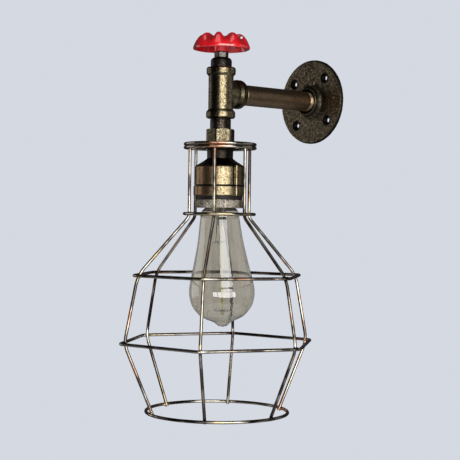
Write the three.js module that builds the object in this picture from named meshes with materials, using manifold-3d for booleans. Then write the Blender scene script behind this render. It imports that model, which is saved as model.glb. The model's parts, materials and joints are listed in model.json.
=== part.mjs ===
// Industrial pipe wall light: a cast floor flange carries a short pipe arm and a tee. A red valve
// handwheel stands on top of the tee, and a lamp holder with a bulb hangs under it inside a wire cage.
// Millimetres, +Z up. The wall is the plane Y = 0, the arm runs along -Y, and the origin is the centre
// of the flange's back face.
import * as THREE from "three";
import { mergeVertices } from "three/addons/utils/BufferGeometryUtils.js";
import { ParametricGeometry } from "three/addons/geometries/ParametricGeometry.js";
import Module from "manifold-3d";

const wasm = await Module();
wasm.setup();

// ---- driving dimensions ----
const REACH = 129; // wall to lamp axis
const GAP = 0.3; // running or assembly gap between touching pieces
const SEGMENTS = 24; // facets round a turned piece

const PIPE_R = 10.2; // half-inch pipe, outside
const PIPE_BORE_R = 7.8;
const PIPE_SOCKET_R = PIPE_R + GAP; // threaded mouth that takes the pipe
const PIPE_START = 2.7; // the arm stops this far in front of the wall
const PIPE_ENGAGED = 11; // length of the arm inside the tee
const BEAD_R = 14.3; // beaded mouth of a malleable fitting

const FLANGE = { r: 43.6, thick: 4, hubR: 14.4, hubTop: 11.5, filletR: 17, turn: 5 };
const BOLT = { count: 4, circleR: 31, r: 3.1, sinkR: 5.4, sinkDepth: 2.4 };

const TEE = { half: 25, bodyR: 12.2, bead: 7 };
const BONNET = { r: 10.35, shoulderZ: 31.5, top: 34.2, plugBottom: 10, boreR: 3.5 };
const STEM = { r: 3.2, bottom: 5, top: 53.6, collarR: 5.6, collarTop: 9.6 };
const PACKING_NUT = { flats: 12.6, bottom: 34.5, top: 39.6 };
const WHEEL = { r: 28, hubBottom: 40.4, hubTop: 50, lobes: 8, turn: -5.6 };
const GRIP_HOLE = { r: 2, out: 19.4, z: 53.4 }; // cast through each lobe
const WHEEL_NUT = { flats: 8.4, bottom: 50.3, top: 53.4 };

const NIPPLE = { top: -13, bottom: -43.5 };
const HEX = { flats: 25.6, top: -35.5, bottom: -49.4, floor: -45, turn: 34 };
const PLATE = { r: 32.6, top: -49.7, bottom: -50.9 };
const ROD = { r: 5, boreR: 3.5, top: -40, bottom: -62 }; // hollow threaded rod that clamps the stack
const LOCK_NUT = { flats: 12.8, thick: 3, upperTurn: 11, lowerTurn: 29 };

const HOUSING = {
  top: -51.2,
  bottom: -101,
  capR: 16,
  neckR: 12.7,
  bodyR: 24.2,
  bandR: 25.6,
  wall: 2.6,
  roof: 4,
};
const RIB = { wide: 3.4, proud: 1.5, top: -71.5 };
const INSULATOR = { headR: 20.6, flangeR: 22.6, top: -74, floor: -84.3, bottom: -111.5, cavityR: 14.4 };
const SHELL = { r: 14.1, innerR: 13.7, top: -84.6, bottom: -105 };
const STUD = { r: 1.7, out: 10, top: -71.6 };
const SHADE_RING = { r: 24, innerR: 21.9, top: -104.5, bottom: -112.4 };

const WIRE_R = 1.45; // cage wire
const CAGE = { wires: 6, turn: 8.8, ringR: 34.4, shoulderR: 82.4, middleR: 95, mouthR: 69.6 };
const CAGE_Z = { topA: -50.4, topB: -53.4, neck: -118.4, shoulder: -178.4, middle: -243.7, mouth: -312.1 };
const WELD_STEP = 2 * WIRE_R + GAP; // from a wire's middle to the middle of the ring round it
const MOUTH_STEP = 1.3 * WELD_STEP; // the wires reach the mouth ring at a slant
const NECK_DROP = 3; // the wires bend outwards just under the neck ring
const WIRE_BENDS = [4, 10, 9]; // at the neck, the shoulder and the middle

const CAP = { r: 13.2, tip: -87, shoulder: -90.5, skirt: -109.2, wall: 0.7 };
const BULB = { r: 32.1, wall: 0.9, tip: -228.8, neckTop: -106.6, neckR: 11.9 };
const BULB_LEAN = { degrees: 2.3, towards: 47.9, pivotZ: -109 }; // the glass sits crooked in its cap
const STEM_ROD_R = 1.3; // glass rod that carries the filament
const FILAMENT = { r: 0.25, cageR: 8.6, top: -147, bottom: -212, strands: 9 };

// ---- geometry helpers ----

// The geometry as positions only, welded, without collapsed faces and with its faces pointing out.
function welded(geometry) {
  const bare = geometry.index ? geometry.toNonIndexed() : geometry.clone();
  bare.deleteAttribute("normal");
  bare.deleteAttribute("uv");
  const merged = mergeVertices(bare, 1e-4);
  const corners = [];
  for (let i = 0; i < merged.index.count; i += 3) {
    const [a, b, c] = [0, 1, 2].map((k) => merged.index.getX(i + k));
    if (a !== b && b !== c && c !== a) corners.push(a, b, c);
  }
  merged.setIndex(corners);
  if (signedVolume(merged) < 0) merged.setIndex(corners.reverse());
  return merged;
}

function signedVolume(geometry) {
  const p = geometry.attributes.position;
  const corner = (i) => new THREE.Vector3().fromBufferAttribute(p, geometry.index.getX(i));
  let volume = 0;
  for (let i = 0; i < geometry.index.count; i += 3) {
    volume += corner(i).dot(corner(i + 1).cross(corner(i + 2))) / 6;
  }
  return volume;
}

function toManifold(geometry) {
  const g = welded(geometry);
  const vertProperties = new Float32Array(g.attributes.position.array);
  const triVerts = new Uint32Array(g.index.array);
  return new wasm.Manifold(new wasm.Mesh({ numProp: 3, vertProperties, triVerts }));
}

function fromManifold(manifold) {
  const mesh = manifold.getMesh();
  const positions = new Float32Array(mesh.vertProperties);
  const geometry = new THREE.BufferGeometry();
  geometry.setAttribute("position", new THREE.BufferAttribute(positions, 3));
  geometry.setIndex([...mesh.triVerts]);
  return geometry;
}

function join(...geometries) {
  return fromManifold(geometries.map(toManifold).reduce((sum, piece) => sum.add(piece)));
}

function cut(geometry, ...tools) {
  const start = toManifold(geometry);
  return fromManifold(tools.map(toManifold).reduce((rest, tool) => rest.subtract(tool), start));
}

// A turned piece about +Z from [radius, z] points. A bore's profile closes on itself.
function turned(profile, segments = SEGMENTS) {
  const points = profile.map(([r, z]) => new THREE.Vector2(r, z));
  return new THREE.LatheGeometry(points, segments).rotateX(Math.PI / 2);
}

// A turned sleeve: the outside as [radius, z] from one end to the other, and one straight bore.
function sleeve(outside, boreR, segments = SEGMENTS) {
  const [first, last] = [outside[0], outside[outside.length - 1]];
  return turned([[boreR, first[1]], ...outside, [boreR, last[1]], [boreR, first[1]]], segments);
}

function rod(r, bottom, top, segments = 16) {
  return turned([[0, bottom], [r, bottom], [r, top], [0, top]], segments);
}

// A hexagonal nut with a round bore and a small chamfer on its outer corners.
function hexNut(flats, bottom, top, boreR) {
  const corner = flats / Math.sqrt(3);
  const chamfer = (corner - flats / 2) * 0.8;
  const height = top - bottom;
  const hexagon = new THREE.CylinderGeometry(corner, corner, height, 6).rotateX(Math.PI / 2);
  hexagon.translate(0, 0, (top + bottom) / 2);
  const round = turned([
    [0, bottom],
    [corner - chamfer, bottom],
    [corner + 0.1, bottom + chamfer],
    [corner + 0.1, top - chamfer],
    [corner - chamfer, top],
    [0, top],
  ], 18);
  const bore = rod(boreR, bottom - 1, top + 1, 18);
  return fromManifold(toManifold(hexagon).intersect(toManifold(round)).subtract(toManifold(bore)));
}

// The corner points of a route, with each inner corner rounded off over its own length.
function rounded(corners, bends, steps = 4) {
  const route = [corners[0]];
  for (let i = 1; i < corners.length - 1; i += 1) {
    const bend = bends[(i - 1) % bends.length];
    route.push(...bentCorner(corners[i - 1], corners[i], corners[i + 1], bend, steps));
  }
  route.push(corners[corners.length - 1]);
  return route;
}

function bentCorner(before, corner, after, bend, steps) {
  const start = corner.clone().add(before.clone().sub(corner).setLength(bend));
  const end = corner.clone().add(after.clone().sub(corner).setLength(bend));
  return new THREE.QuadraticBezierCurve3(start, corner, end).getPoints(steps);
}

// A path that an extrusion follows point by point.
class Route extends THREE.Curve {
  constructor(points) {
    super();
    this.points = points;
  }
  getPoint(t, target = new THREE.Vector3()) {
    const place = t * (this.points.length - 1);
    const i = Math.min(Math.floor(place + 1e-6), this.points.length - 2);
    return target.lerpVectors(this.points[i], this.points[i + 1], place - i);
  }
  getPointAt(t, target) {
    return this.getPoint(t, target);
  }
  getTangentAt(t, target = new THREE.Vector3()) {
    const i = Math.round(t * (this.points.length - 1));
    const last = this.points.length - 1;
    const before = this.points[Math.max(i - 1, 0)];
    const after = this.points[Math.min(i + 1, last)];
    const here = this.points[i];
    const into = here.clone().sub(before).normalize();
    const out = after.clone().sub(here).normalize();
    return target.copy(into).add(out).normalize();
  }
}

function wireAlong(points, radius, sides = 6) {
  const section = new THREE.Shape();
  for (let k = 0; k < sides; k += 1) {
    const angle = (2 * Math.PI * k) / sides;
    const [x, y] = [radius * Math.cos(angle), radius * Math.sin(angle)];
    if (k === 0) section.moveTo(x, y);
    else section.lineTo(x, y);
  }
  section.closePath();
  const steps = points.length - 1;
  return new THREE.ExtrudeGeometry(section, { steps, extrudePath: new Route(points) });
}

// A level ring of wire through the points, which lie round the Z axis.
function wireRing(points, radius, sides = 6) {
  const count = points.length;
  const at = (u, v, target) => {
    const i = Math.round(u * count) % count;
    const ahead = points[(i + 1) % count].clone().sub(points[(i + count - 1) % count]).normalize();
    const outward = new THREE.Vector3(ahead.y, -ahead.x, 0);
    const angle = 2 * Math.PI * v;
    target.copy(points[i]).addScaledVector(outward, radius * Math.cos(angle));
    target.z += radius * Math.sin(angle);
  };
  return new ParametricGeometry(at, count, sides);
}

function polar(r, degrees, z = 0) {
  const angle = THREE.MathUtils.degToRad(degrees);
  return new THREE.Vector3(r * Math.cos(angle), r * Math.sin(angle), z);
}

// ---- scene graph ----
const root = new THREE.Group();
const lampAxis = new THREE.Group();
lampAxis.position.set(0, -REACH, 0);
root.add(lampAxis);

const finishes = {
  cast: { color: 0x5b4f36, roughness: 0.55, metalness: 0.8 },
  brass: { color: 0x8a7648, roughness: 0.45, metalness: 0.9 },
  pipe: { color: 0x4f4030, roughness: 0.5, metalness: 0.8 },
  black: { color: 0x241f1c, roughness: 0.5, metalness: 0.7 },
  steel: { color: 0x9a9a94, roughness: 0.3, metalness: 1 },
  red: { color: 0xd01420, roughness: 0.2, metalness: 0 },
  wire: { color: 0x5f4d3b, roughness: 0.4, metalness: 0.85 },
  yellowBrass: { color: 0xb89448, roughness: 0.3, metalness: 1 },
  phenolic: { color: 0x1c1815, roughness: 0.45, metalness: 0 },
  brown: { color: 0x5a3a22, roughness: 0.5, metalness: 0 },
  blue: { color: 0x2f4f8a, roughness: 0.5, metalness: 0 },
  glass: { color: 0xb8b2a0, roughness: 0.05, metalness: 0, transparent: true, opacity: 0.35 },
  clearGlass: { color: 0xd8dcc8, roughness: 0.05, metalness: 0, transparent: true, opacity: 0.5 },
  nickel: { color: 0xb8b4aa, roughness: 0.3, metalness: 1 },
};

function add(name, geometry, finish, parent = lampAxis) {
  const mesh = new THREE.Mesh(welded(geometry), new THREE.MeshStandardMaterial(finishes[finish]));
  mesh.name = name;
  parent.add(mesh);
  return mesh;
}

// ---- wall flange and arm ----

// The flange is turned about the arm's axis, height measured from the wall.
function flange() {
  const body = turned([
    [PIPE_BORE_R, 0],
    [FLANGE.r - 0.6, 0],
    [FLANGE.r, 0.6],
    [FLANGE.r, FLANGE.thick - 1.1],
    [FLANGE.r - 1.1, FLANGE.thick],
    [FLANGE.filletR + 1.5, FLANGE.thick],
    [FLANGE.filletR - 1, FLANGE.thick + 1],
    [FLANGE.hubR + 0.3, FLANGE.thick + 3.2],
    [FLANGE.hubR, FLANGE.hubTop - 1],
    [FLANGE.hubR - 0.8, FLANGE.hubTop],
    [PIPE_SOCKET_R + 2.4, FLANGE.hubTop],
    [PIPE_SOCKET_R, FLANGE.hubTop - 2.4],
    [PIPE_SOCKET_R, 2.4],
    [PIPE_BORE_R, 2.4],
    [PIPE_BORE_R, 0],
  ], 36);
  const hole = turned([
    [0, -1],
    [BOLT.r, -1],
    [BOLT.r, FLANGE.thick - BOLT.sinkDepth],
    [BOLT.sinkR, FLANGE.thick],
    [BOLT.sinkR, FLANGE.thick + 1],
    [0, FLANGE.thick + 1],
  ], 16);
  const holes = [];
  for (let k = 0; k < BOLT.count; k += 1) {
    const place = polar(BOLT.circleR, 45 + FLANGE.turn + 90 * k);
    holes.push(hole.clone().translate(place.x, place.y, 0));
  }
  return cut(body, ...holes).rotateX(Math.PI / 2);
}

function armPipe() {
  const [start, end] = [PIPE_START, REACH - TEE.half + PIPE_ENGAGED];
  const chamfer = 0.8;
  return sleeve([
    [PIPE_R - chamfer, start],
    [PIPE_R, start + chamfer],
    [PIPE_R, end - chamfer],
    [PIPE_R - chamfer, end],
  ], PIPE_BORE_R).rotateX(Math.PI / 2);
}

add("wall_flange", flange(), "cast", root);
add("arm_pipe", armPipe(), "pipe", root);

// ---- tee and valve ----

function beadedEnd(from, to) {
  const inward = Math.sign(from - to);
  return [
    [TEE.bodyR, to + inward * (TEE.bead + 1.4)],
    [BEAD_R - 0.5, to + inward * TEE.bead],
    [BEAD_R, to + inward * (TEE.bead - 1.4)],
    [BEAD_R, to + inward * 1.4],
    [BEAD_R - 1.4, to],
  ];
}

function tee() {
  const run = turned([
    [0, -TEE.half],
    ...beadedEnd(0, -TEE.half).reverse(),
    ...beadedEnd(0, TEE.half),
    [0, TEE.half],
  ]);
  const branch = turned([[0, 0], [TEE.bodyR, 0], ...beadedEnd(0, TEE.half), [0, TEE.half]]);
  const runBore = rod(PIPE_SOCKET_R, -TEE.half - 1, TEE.half + 1, SEGMENTS);
  const branchBore = rod(PIPE_SOCKET_R, 0, TEE.half + 1, SEGMENTS);
  const towardsWall = -Math.PI / 2;
  return cut(join(run, branch.rotateX(towardsWall)), runBore, branchBore.rotateX(towardsWall));
}

function bonnet() {
  const seat = TEE.half + GAP;
  return sleeve([
    [PIPE_R - 1, BONNET.plugBottom],
    [PIPE_R - 0.6, seat],
    [BONNET.r, seat],
    [BONNET.r, BONNET.shoulderZ],
    [BONNET.r - 0.5, BONNET.shoulderZ + 1.4],
    [BONNET.r - 2.4, BONNET.top],
  ], BONNET.boreR);
}

function stem() {
  return turned([
    [0, STEM.bottom],
    [STEM.collarR, STEM.bottom],
    [STEM.collarR, STEM.collarTop],
    [STEM.r, STEM.collarTop],
    [STEM.r, STEM.top - 0.8],
    [STEM.r - 0.8, STEM.top],
    [0, STEM.top],
  ], 20);
}

// The handwheel is a dished shell with a boss below. Each profile point is [radius, z, lift], where
// lift is how far the eight lobes raise that point.
const wheelProfile = [
  [BONNET.boreR, WHEEL.hubTop, 0],
  [7.4, WHEEL.hubTop, 0],
  [8.6, 53.6, 0],
  [11.5, 54.2, 1.4],
  [15, 53.6, 3.8],
  [19, 52.4, 5],
  [22.3, 50.6, 4.6],
  [25.2, 47.8, 3.2],
  [27.3, 44.9, 1],
  [WHEEL.r, 43.2, 0],
  [WHEEL.r - 0.6, 42.3, 0],
  [WHEEL.r - 2.2, 42.3, 0],
  [24.6, 44.4, 1],
  [22.6, 47.2, 3],
  [19.4, 49.4, 4.4],
  [15.4, 50.6, 3.6],
  [11.4, 51.2, 1.2],
  [8.8, 50.6, 0],
  [7, 47.5, 0],
  [7, WHEEL.hubBottom, 0],
  [BONNET.boreR, WHEEL.hubBottom, 0],
];

function handwheel() {
  const count = wheelProfile.length;
  const around = 6 * WHEEL.lobes;
  const at = (u, v, target) => {
    const [r, z, lift] = wheelProfile[Math.round(v * count) % count];
    const degrees = 360 * u;
    const wave = (1 + Math.cos(THREE.MathUtils.degToRad(WHEEL.lobes * degrees))) / 2;
    const crest = 1 - (1 - wave ** 1.6) ** 1.5; // narrow lobes with rounded tops
    target.copy(polar(r, degrees, z + lift * crest));
  };
  const shell = new ParametricGeometry(at, around, count);
  const holes = [];
  for (let k = 0; k < WHEEL.lobes; k += 1) {
    const hole = rod(GRIP_HOLE.r, -5, 5, 8).rotateX(Math.PI / 2);
    hole.translate(GRIP_HOLE.out, 0, GRIP_HOLE.z);
    holes.push(hole.rotateZ((2 * Math.PI * k) / WHEEL.lobes));
  }
  return cut(shell, ...holes).rotateZ(THREE.MathUtils.degToRad(WHEEL.turn));
}

add("tee_fitting", tee(), "brass");
add("valve_bonnet", bonnet(), "black");
add("packing_nut", hexNut(PACKING_NUT.flats, PACKING_NUT.bottom, PACKING_NUT.top, BONNET.boreR), "steel");
add("valve_stem", stem(), "steel");
add("handwheel", handwheel(), "red");
add("handwheel_nut", hexNut(WHEEL_NUT.flats, WHEEL_NUT.bottom, WHEEL_NUT.top, BONNET.boreR), "steel");

// ---- drop pipe and clamped stack ----

function lowerNipple() {
  return sleeve([
    [PIPE_R - 0.8, NIPPLE.bottom],
    [PIPE_R, NIPPLE.bottom + 0.8],
    [PIPE_R, NIPPLE.top - 0.8],
    [PIPE_R - 0.8, NIPPLE.top],
  ], PIPE_BORE_R);
}

function hexBushing() {
  const nut = hexNut(HEX.flats, HEX.bottom, HEX.top, ROD.r + GAP);
  return cut(nut, rod(PIPE_SOCKET_R, HEX.floor, HEX.top + 1, SEGMENTS));
}

function lockNut(top) {
  return hexNut(LOCK_NUT.flats, top - LOCK_NUT.thick, top, ROD.r + GAP);
}

const upperLockNut = lockNut(HEX.floor + GAP + LOCK_NUT.thick);
const lowerLockNut = lockNut(HOUSING.top - HOUSING.roof - GAP);

add("lower_nipple", lowerNipple(), "pipe");
add("hex_bushing", hexBushing().rotateZ(THREE.MathUtils.degToRad(HEX.turn)), "brass");
add("threaded_rod", sleeve([[ROD.r, ROD.bottom], [ROD.r, ROD.top]], ROD.boreR, 20), "steel");
add("upper_lock_nut", upperLockNut.rotateZ(THREE.MathUtils.degToRad(LOCK_NUT.upperTurn)), "steel");
add("lower_lock_nut", lowerLockNut.rotateZ(THREE.MathUtils.degToRad(LOCK_NUT.lowerTurn)), "steel");

// ---- lamp holder ----

function housing() {
  const inside = HOUSING.bodyR - HOUSING.wall;
  const shell = turned([
    [ROD.r + GAP, HOUSING.top],
    [HOUSING.capR, HOUSING.top],
    [HOUSING.capR, -53],
    [HOUSING.neckR + 0.6, -55.6],
    [HOUSING.neckR, -57.5],
    [HOUSING.neckR, -64.5],
    [HOUSING.bodyR - 1, -71.2],
    [HOUSING.bodyR, -72.4],
    [HOUSING.bodyR, -90.2],
    [HOUSING.bandR - 0.4, -91],
    [HOUSING.bandR, -91.8],
    [HOUSING.bandR, HOUSING.bottom + 0.9],
    [HOUSING.bandR - 0.9, HOUSING.bottom],
    [inside + 1.4, HOUSING.bottom],
    [inside + 1.4, -96.6],
    [inside, -95],
    [inside, -73.4],
    [HOUSING.neckR - HOUSING.wall, -66],
    [HOUSING.neckR - HOUSING.wall, HOUSING.top - HOUSING.roof],
    [ROD.r + GAP, HOUSING.top - HOUSING.roof],
    [ROD.r + GAP, HOUSING.top],
  ]);
  const reach = HOUSING.bandR + 0.6 - inside - 1.8;
  const height = RIB.top - HOUSING.bottom - 0.6;
  const rib = new THREE.BoxGeometry(reach, RIB.wide, height);
  rib.translate(inside + 1.8 + reach / 2, 0, RIB.top - height / 2);
  return join(shell, rib, rib.clone().rotateZ(Math.PI));
}

function insulator() {
  const body = turned([
    [0, INSULATOR.top],
    [INSULATOR.headR, INSULATOR.top],
    [INSULATOR.headR, -96.8],
    [INSULATOR.flangeR, -98.4],
    [INSULATOR.flangeR, SHADE_RING.top + GAP],
    [SHADE_RING.innerR - GAP, SHADE_RING.top + GAP],
    [SHADE_RING.innerR - GAP, INSULATOR.bottom],
    [18.4, INSULATOR.bottom],
    [INSULATOR.cavityR, -105.4],
    [INSULATOR.cavityR, INSULATOR.floor],
    [0, INSULATOR.floor],
  ]);
  const studHole = rod(STUD.r + GAP, INSULATOR.floor - 1, INSULATOR.top + 1, 12);
  return cut(body, studHole, studHole.clone().translate(STUD.out, 0, 0));
}

function screwShell() {
  const cup = turned([
    [6, SHELL.top],
    [SHELL.r, SHELL.top],
    [SHELL.r, SHELL.bottom],
    [SHELL.innerR, SHELL.bottom],
    [SHELL.innerR, SHELL.top - 0.8],
    [6, SHELL.top - 0.8],
    [6, SHELL.top],
  ]);
  const stud = rod(STUD.r, SHELL.top - 0.4, STUD.top, 12).translate(STUD.out, 0, 0);
  return join(cup, stud);
}

function centreContact() {
  return turned([
    [0, SHELL.top - 1.9],
    [3.4, SHELL.top - 1.9],
    [4, SHELL.top - 1.2],
    [4, SHELL.top],
    [STUD.r, SHELL.top],
    [STUD.r, STUD.top],
    [0, STUD.top],
  ], 16);
}

function shadeRing() {
  return sleeve([
    [SHADE_RING.r - 0.7, SHADE_RING.bottom],
    [SHADE_RING.r, SHADE_RING.bottom + 0.7],
    [SHADE_RING.r, SHADE_RING.top - 0.7],
    [SHADE_RING.r - 0.7, SHADE_RING.top],
  ], SHADE_RING.innerR);
}

function terminalNut(out) {
  const bottom = INSULATOR.top + GAP;
  const nut = sleeve([[3, bottom], [3, STUD.top - 0.2]], STUD.r + GAP, 12);
  return nut.translate(out, 0, 0);
}

add("holder_housing", housing(), "brass");
add("holder_insulator", insulator(), "phenolic");
add("screw_shell", screwShell(), "yellowBrass");
add("centre_contact", centreContact(), "yellowBrass");
add("live_terminal_nut", terminalNut(0), "yellowBrass");
add("neutral_terminal_nut", terminalNut(STUD.out), "yellowBrass");
add("shade_ring", shadeRing(), "brass");

// ---- supply leads inside the pipes ----

function lead(side, endX) {
  const corners = [
    new THREE.Vector3(side, REACH - 0.5, 0),
    new THREE.Vector3(side, 0, 0),
    new THREE.Vector3(side, 0, ROD.bottom - 2.6),
    new THREE.Vector3(endX, 0, ROD.bottom - 8),
    new THREE.Vector3(endX, 0, INSULATOR.top + 0.8),
  ];
  const route = [corners[0]];
  route.push(...bentCorner(corners[0], corners[1], corners[2], 9, 6));
  route.push(...bentCorner(corners[1], corners[2], corners[3], 1.6, 3));
  route.push(...bentCorner(corners[2], corners[3], corners[4], 1.6, 3));
  route.push(corners[4]);
  return wireAlong(route, 1.1);
}

add("live_lead", lead(-1.5, -4.6), "brown");
add("neutral_lead", lead(1.5, STUD.out - 4.6), "blue");

// ---- wire cage ----

// A hexagonal ring whose rounded corners stand just outside the upright wires.
function cornerRing(wireR, z) {
  const bend = 6;
  const cornerR = wireR + WELD_STEP + 1.7;
  const corners = [];
  for (let k = 0; k < CAGE.wires; k += 1) {
    corners.push(polar(cornerR, CAGE.turn + 60 * k, z));
  }
  const count = corners.length;
  const points = corners.flatMap((corner, k) =>
    bentCorner(corners[(k + count - 1) % count], corner, corners[(k + 1) % count], bend, 3),
  );
  return wireRing(points, WIRE_R);
}

function roundRing(r, z) {
  const points = [];
  const count = 32;
  for (let k = 0; k < count; k += 1) points.push(polar(r, (360 * k) / count, z));
  return wireRing(points, WIRE_R);
}

function uprightWire(k) {
  const inner = CAGE.ringR - WELD_STEP;
  const at = (r, z) => polar(r, CAGE.turn + 60 * k, z);
  const route = rounded([
    at(inner, PLATE.bottom - GAP),
    at(inner, CAGE_Z.neck - NECK_DROP),
    at(CAGE.shoulderR, CAGE_Z.shoulder),
    at(CAGE.middleR, CAGE_Z.middle),
    at(CAGE.mouthR - MOUTH_STEP, CAGE_Z.mouth - WIRE_R),
  ], WIRE_BENDS);
  return wireAlong(route, WIRE_R);
}

function plate() {
  return sleeve([[PLATE.r, PLATE.bottom], [PLATE.r, PLATE.top]], ROD.r + GAP);
}

add("cage_top_plate", plate(), "wire");
add("cage_ring_top_upper", roundRing(CAGE.ringR, CAGE_Z.topA), "wire");
add("cage_ring_top_lower", roundRing(CAGE.ringR, CAGE_Z.topB - GAP), "wire");
add("cage_ring_neck", roundRing(CAGE.ringR, CAGE_Z.neck), "wire");
add("cage_ring_shoulder", cornerRing(CAGE.shoulderR, CAGE_Z.shoulder), "wire");
add("cage_ring_middle", cornerRing(CAGE.middleR, CAGE_Z.middle), "wire");
add("cage_ring_mouth", roundRing(CAGE.mouthR, CAGE_Z.mouth), "wire");
for (let k = 0; k < CAGE.wires; k += 1) {
  add("cage_wire_" + (k + 1), uprightWire(k), "wire");
}

// ---- bulb ----

// Outline of the pear-shaped envelope, [radius, z] from the neck down to the tip.
const bulbOutline = [
  [BULB.neckR, BULB.neckTop],
  [11.9, -109.8],
  [13.4, -111.6],
  [15.8, -113.4],
  [17.9, -115.8],
  [18.9, -120],
  [20.3, -131],
  [22.4, -146],
  [26.3, -165],
  [30, -181],
  [31.6, -189],
  [BULB.r, -195],
  [31.3, -202],
  [28.6, -209.5],
  [23.6, -216],
  [20.6, -218.7],
  [15.6, -221.3],
  [8.7, -223.9],
  [6.9, -225.4],
  [4.6, -227.5],
  [0, BULB.tip],
];

function smoothOutline(points, count) {
  const flat = points.map(([r, z]) => new THREE.Vector3(r, z, 0));
  const curve = new THREE.CatmullRomCurve3(flat, false, "centripetal");
  return curve.getPoints(count).map((p) => [Math.max(p.x, 0), p.y]);
}

function envelope() {
  const outside = smoothOutline(bulbOutline, 22);
  const inside = smoothOutline(bulbOutline, 16)
    .map(([r, z], i, all) => [Math.max(r - BULB.wall, 0), i === all.length - 1 ? z + 1.6 : z + 0.25])
    .filter(([, z]) => z > BULB.tip + 1);
  const rim = [inside[0][0], outside[0][1]];
  return turned([...outside, ...inside.reverse().slice(0, -1), rim, outside[0]]);
}

function screwCap() {
  return turned([
    [5, CAP.shoulder + 0.9],
    [10.4, CAP.shoulder + 0.9],
    [CAP.r, CAP.shoulder - 1.6],
    [CAP.r, CAP.skirt],
    [CAP.r - CAP.wall, CAP.skirt],
    [CAP.r - CAP.wall, CAP.shoulder - 1.9],
    [10.1, CAP.shoulder + 0.2],
    [5, CAP.shoulder + 0.2],
    [5, CAP.shoulder + 0.9],
  ]);
}

function capInsulator() {
  return turned([
    [2.2, CAP.tip - 1.2],
    [7.5, CAP.shoulder + 1.2],
    [4.7, CAP.shoulder + 1.2],
    [4.7, CAP.shoulder - 1],
    [2.2, CAP.shoulder - 1],
    [2.2, CAP.tip - 1.2],
  ], 20);
}

function capContact() {
  return turned([
    [0, CAP.tip],
    [3.2, CAP.tip - 0.1],
    [1.9, CAP.tip - 0.8],
    [1.9, CAP.shoulder - 1],
    [0, CAP.shoulder - 1],
  ], 16);
}

// The stem is the bulb's pinched glass foot with a long thin rod that carries the filament.
function glassStem() {
  return turned([
    [0, BULB.neckTop + 2],
    [8.6, BULB.neckTop + 2],
    [5.2, -113],
    [3.6, -119],
    [3.2, -128],
    [STEM_ROD_R + 0.3, -131.5],
    [STEM_ROD_R, -140],
    [STEM_ROD_R, FILAMENT.bottom - 2.4],
    [STEM_ROD_R + 0.5, FILAMENT.bottom - 3.6],
    [0, FILAMENT.bottom - 5],
  ], 12);
}

// A star of fine hooks round the rod.
function hookStar(z, arms) {
  const boreR = STEM_ROD_R + GAP;
  const collar = sleeve([[boreR + 0.7, z - 0.5], [boreR + 0.7, z + 0.5]], boreR, 12);
  const spokes = [];
  for (let k = 0; k < arms; k += 1) {
    const outward = (360 * k) / arms;
    const route = [polar(boreR + 0.4, outward, z), polar(FILAMENT.cageR - 0.8, outward, z)];
    spokes.push(wireAlong(route, 0.25, 4));
  }
  return join(collar, ...spokes);
}

// One long filament that runs up and down between the two stars.
function filament() {
  const corners = [];
  for (let k = 0; k < FILAMENT.strands; k += 1) {
    const down = k % 2 === 0;
    const turn = 20 + (320 * k) / (FILAMENT.strands - 1);
    const ends = [polar(FILAMENT.cageR, turn, FILAMENT.top), polar(FILAMENT.cageR, turn, FILAMENT.bottom)];
    corners.push(...(down ? ends : ends.reverse()));
  }
  return wireAlong(rounded(corners, [1], 1), FILAMENT.r, 4);
}

function leadIn(side) {
  return wireAlong(rounded([
    new THREE.Vector3(side * 5, 0, -118),
    new THREE.Vector3(side * 5, 0, -128),
    new THREE.Vector3(side * 8.3, 1.2, FILAMENT.top + 2),
  ], [2], 3), 0.35, 4);
}

// Everything of glass, and what it carries, leans together about the neck.
const bulbGlass = new THREE.Group();
const inner = new THREE.Group();
bulbGlass.position.z = BULB_LEAN.pivotZ;
bulbGlass.setRotationFromAxisAngle(
  polar(1, BULB_LEAN.towards - 90),
  THREE.MathUtils.degToRad(BULB_LEAN.degrees),
);
inner.position.z = -BULB_LEAN.pivotZ;
lampAxis.add(bulbGlass);
bulbGlass.add(inner);

add("glass_envelope", envelope(), "glass", inner);
add("bulb_screw_cap", screwCap(), "nickel");
add("bulb_cap_insulator", capInsulator(), "black");
add("bulb_cap_contact", capContact(), "nickel");
add("bulb_glass_stem", glassStem(), "clearGlass", inner);
add("bulb_upper_hooks", hookStar(FILAMENT.top + 1.2, 6), "nickel", inner);
add("bulb_lower_hooks", hookStar(FILAMENT.bottom - 1.2, 6), "nickel", inner);
add("bulb_filament", filament(), "nickel", inner);
add("bulb_lead_in_a", leadIn(-1), "nickel", inner);
add("bulb_lead_in_b", leadIn(1), "nickel", inner);

export default root;
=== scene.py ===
"""The looks of the pipe wall light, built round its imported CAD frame. Lengths in the shapes are
millimetres, heights are along the lamp's axis, and everything is scaled to metres as it is made."""

import json
import math

import bmesh
import bpy
from mathutils import Matrix, Vector, noise


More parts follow.
